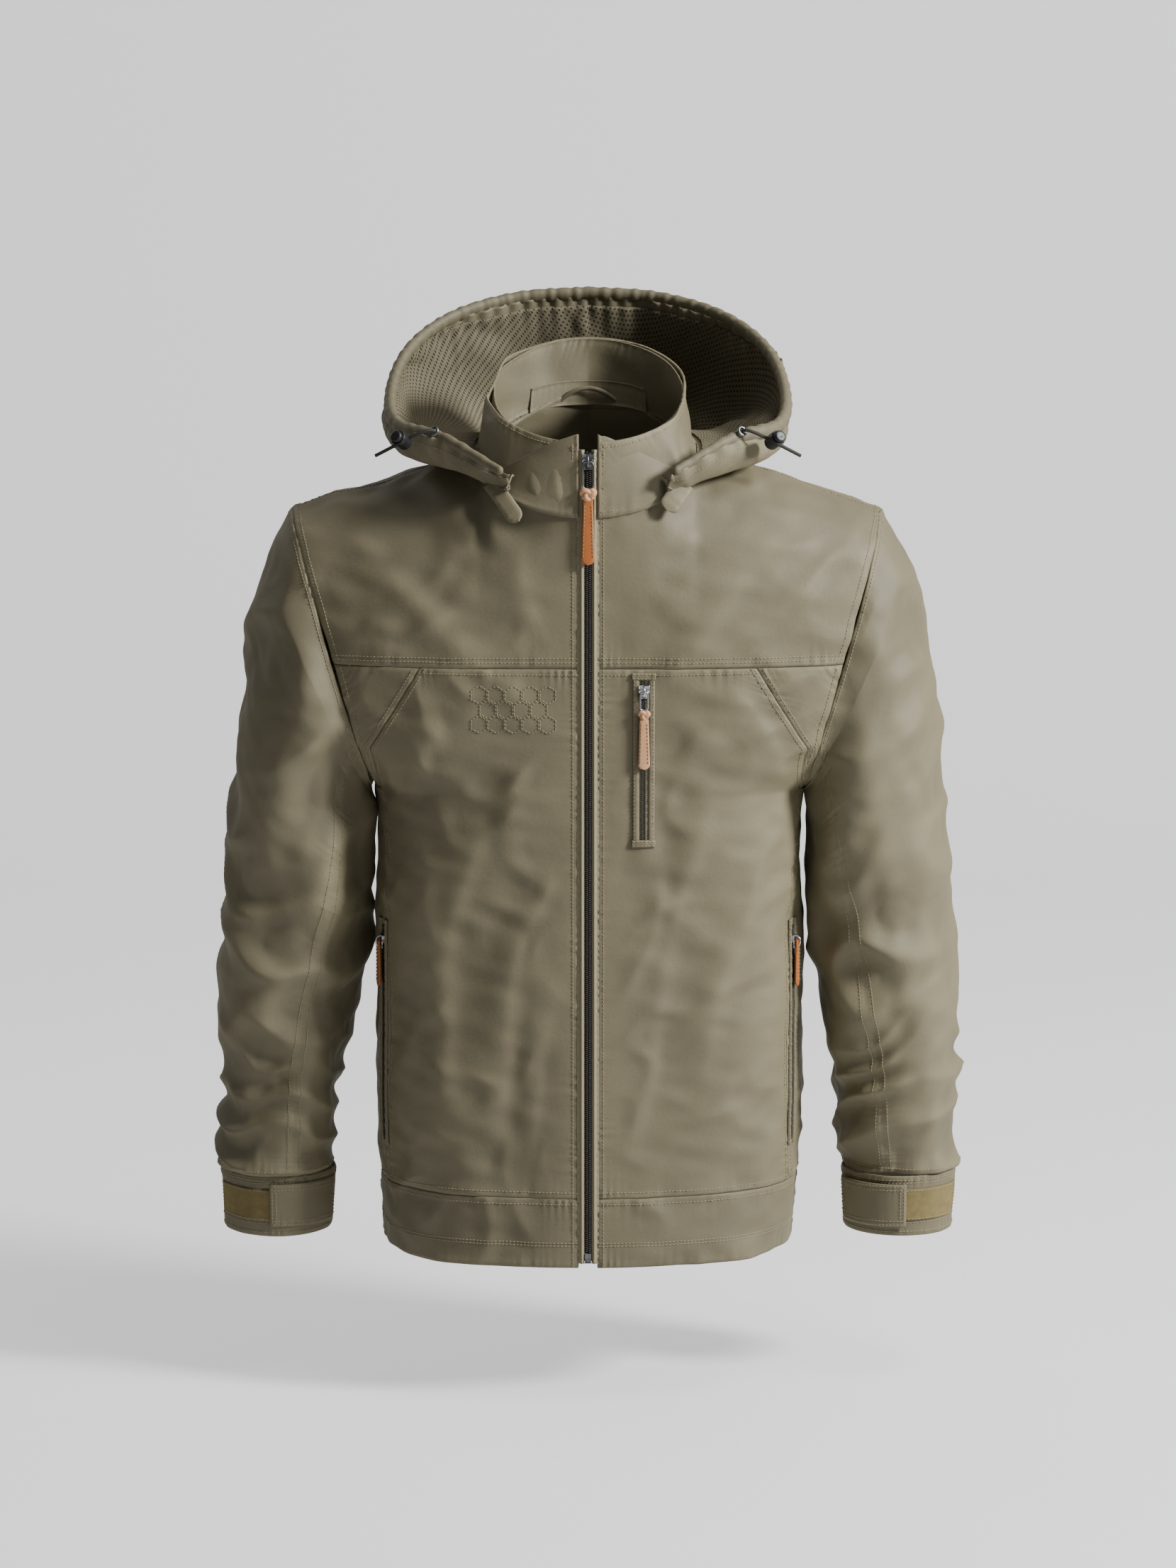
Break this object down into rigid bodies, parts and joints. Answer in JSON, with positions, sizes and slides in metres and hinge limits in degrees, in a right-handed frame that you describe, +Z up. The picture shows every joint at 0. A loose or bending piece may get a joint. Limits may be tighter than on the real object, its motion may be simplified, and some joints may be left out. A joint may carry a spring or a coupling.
{
  "type": "beekeeping jacket",
  "caption": "Hooded zip-front jacket in olive cloth with a stand collar, laid-back hood, zipped pockets and tabbed cuffs.",
  "frame": {"origin": "middle of the hanger loop inside the back of the neck", "axes": "+Z up, -Y towards the front of the jacket, +X towards the wearer's left"},
  "size_m": [0.6448, 0.3258, 0.8203],
  "materials": {
    "shell_cloth": "fine plain weave with a soft sheen, tonal stitching and puckered seams",
    "band_cloth": "the same cloth, doubled and topstitched",
    "mesh_lining": "knitted mesh with rows of small oval holes",
    "zip_tape": "woven tape with a light piping",
    "zip_teeth": "dark moulded coil",
    "gunmetal": "dark plated metal, satin",
    "bright_metal": "bright plated metal",
    "leather": "smooth orange-tan leather with darker cut edges",
    "pale_leather": "pale tan leather with a fine grain",
    "black_plastic": "moulded black plastic",
    "elastic_cord": "braided elastic cord",
    "loop_pile": "woven loop pile of a hook-and-loop fastener"
  },
  "bodies": {
    "root": {"front_yoke_left": "shell_cloth", "front_yoke_right": "shell_cloth", "front_body_left": "shell_cloth", "front_body_right": "shell_cloth", "side_panel_left": "shell_cloth", "side_panel_right": "shell_cloth", "hem_band_left": "band_cloth", "hem_band_right": "band_cloth", "hem_band_back": "band_cloth", "back_yoke": "shell_cloth", "back_panel": "shell_cloth", "body_lining": "mesh_lining", "collar_shell": "shell_cloth", "collar_facing": "shell_cloth", "storm_flap": "shell_cloth", "zip_tape_left": "zip_tape", "zip_tape_right": "zip_tape", "zip_coil_left": "zip_teeth", "zip_coil_right": "zip_teeth", "zip_box": "gunmetal", "chest_pocket_welt": "band_cloth", "chest_zip_coil": "zip_teeth", "chest_pocket_bag": "mesh_lining", "hand_zip_coil_left": "zip_teeth", "hand_zip_coil_right": "zip_teeth", "hand_pocket_bag_left": "mesh_lining", "hand_pocket_bag_right": "mesh_lining", "hanger_loop": "band_cloth"},
    "main_slider": {"main_slider": "gunmetal"},
    "main_pull": {"main_puller": "gunmetal"},
    "main_strap": {"main_knot": "pale_leather", "main_strap": "leather"},
    "chest_slider": {"chest_slider": "bright_metal"},
    "chest_pull": {"chest_puller": "bright_metal"},
    "chest_strap": {"chest_strap": "pale_leather"},
    "hood": {"hood_shell": "shell_cloth", "hood_lining": "mesh_lining", "hood_channel": "band_cloth", "hood_elastic": "elastic_cord", "eyelet_left": "gunmetal", "eyelet_right": "gunmetal", "cord_end_left": "elastic_cord", "cord_end_right": "elastic_cord"},
    "hand_slider_left": {"hand_left_slider": "bright_metal"},
    "hand_strap_left": {"hand_strap_left": "leather"},
    "sleeve_left": {"sleeve_left": "shell_cloth", "cuff_left": "band_cloth", "loop_strip_left": "loop_pile"},
    "cuff_tab_left": {"cuff_tab_left": "band_cloth"},
    "cord_lock_left": {"cord_lock_left": "black_plastic"},
    "lock_button_left": {"lock_button_left": "black_plastic"},
    "hand_slider_right": {"hand_right_slider": "bright_metal"},
    "hand_strap_right": {"hand_strap_right": "leather"},
    "sleeve_right": {"sleeve_right": "shell_cloth", "cuff_right": "band_cloth", "loop_strip_right": "loop_pile"},
    "cuff_tab_right": {"cuff_tab_right": "band_cloth"},
    "cord_lock_right": {"cord_lock_right": "black_plastic"},
    "lock_button_right": {"lock_button_right": "black_plastic"}
  },
  "joints": [
    {"name": "main_zip_travel", "type": "slide", "parent": "root", "child": "main_slider", "axis": [0, 0.0368, 0.9993], "range_m": [-0.64, 0]},
    {"name": "main_puller_swing", "type": "hinge", "parent": "main_slider", "child": "main_pull", "pos_m": [0, -0.16719, -0.04643], "axis": [-1, 0, 0], "range_deg": [0, 90]},
    {"name": "main_strap_swing", "type": "hinge", "parent": "main_pull", "child": "main_strap", "pos_m": [0, -0.16801, -0.06882], "axis": [-1, 0, 0], "range_deg": [0, 50]},
    {"name": "chest_zip_travel", "type": "slide", "parent": "root", "child": "chest_slider", "axis": [0, 0.0311, 0.9995], "range_m": [-0.118, 0]},
    {"name": "chest_puller_swing", "type": "hinge", "parent": "chest_slider", "child": "chest_pull", "pos_m": [0.04734, -0.17453, -0.24051], "axis": [-0.9976, -0.069, 0.0022], "range_deg": [0, 90]},
    {"name": "chest_strap_swing", "type": "hinge", "parent": "chest_pull", "child": "chest_strap", "pos_m": [0.04734, -0.17501, -0.2559], "axis": [-0.9976, -0.069, 0.0022], "range_deg": [0, 50]},
    {"name": "hood_lift", "type": "hinge", "parent": "root", "child": "hood", "pos_m": [0, -0.1324, -0.0326], "axis": [1, 0, 0], "range_deg": [0, 10], "deforming": ["hood_shell"]},
    {"name": "hand_zip_travel_left", "type": "slide", "parent": "root", "child": "hand_slider_left", "axis": [0.0018, 0.0148, 0.9999], "range_m": [-0.155, 0]},
    {"name": "hand_strap_swing_left", "type": "hinge", "parent": "hand_slider_left", "child": "hand_strap_left", "pos_m": [-0.1805, -0.11212, -0.46658], "axis": [-0.3494, 0.9369, -0.0132], "range_deg": [0, 90]},
    {"name": "sleeve_swing_left", "type": "hinge", "parent": "root", "child": "sleeve_left", "pos_m": [-0.219, -0.0644, -0.2141], "axis": [-0.9606, 0, -0.278], "range_deg": [-30, 45]},
    {"name": "cuff_tab_peel_left", "type": "hinge", "parent": "sleeve_left", "child": "cuff_tab_left", "pos_m": [-0.22515, -0.07695, -0.7016], "axis": [0, 0, 1], "range_deg": [0, 80]},
    {"name": "cord_lock_travel_left", "type": "slide", "parent": "hood", "child": "cord_lock_left", "axis": [-0.8514, 0.2504, -0.4608], "range_m": [-0.006, 0.014]},
    {"name": "lock_button_press_left", "type": "slide", "parent": "cord_lock_left", "child": "lock_button_left", "axis": [0.4619, 0.7743, -0.4326], "range_m": [0, 0.003], "stiffness_N_per_m": 400, "springref_m": -0.001},
    {"name": "hand_zip_travel_right", "type": "slide", "parent": "root", "child": "hand_slider_right", "axis": [-0.0018, 0.0148, 0.9999], "range_m": [-0.155, 0]},
    {"name": "hand_strap_swing_right", "type": "hinge", "parent": "hand_slider_right", "child": "hand_strap_right", "pos_m": [0.1805, -0.11212, -0.46658], "axis": [-0.3494, -0.9369, 0.0132], "range_deg": [0, 90]},
    {"name": "sleeve_swing_right", "type": "hinge", "parent": "root", "child": "sleeve_right", "pos_m": [0.219, -0.0644, -0.2141], "axis": [-0.9606, 0, 0.278], "range_deg": [-30, 45]},
    {"name": "cuff_tab_peel_right", "type": "hinge", "parent": "sleeve_right", "child": "cuff_tab_right", "pos_m": [0.22515, -0.07695, -0.7016], "axis": [0, 0, -1], "range_deg": [0, 80]},
    {"name": "cord_lock_travel_right", "type": "slide", "parent": "hood", "child": "cord_lock_right", "axis": [0.8514, 0.2504, -0.4608], "range_m": [-0.006, 0.014]},
    {"name": "lock_button_press_right", "type": "slide", "parent": "cord_lock_right", "child": "lock_button_right", "axis": [-0.4619, 0.7743, -0.4326], "range_m": [0, 0.003], "stiffness_N_per_m": 400, "springref_m": -0.001}
  ]
}
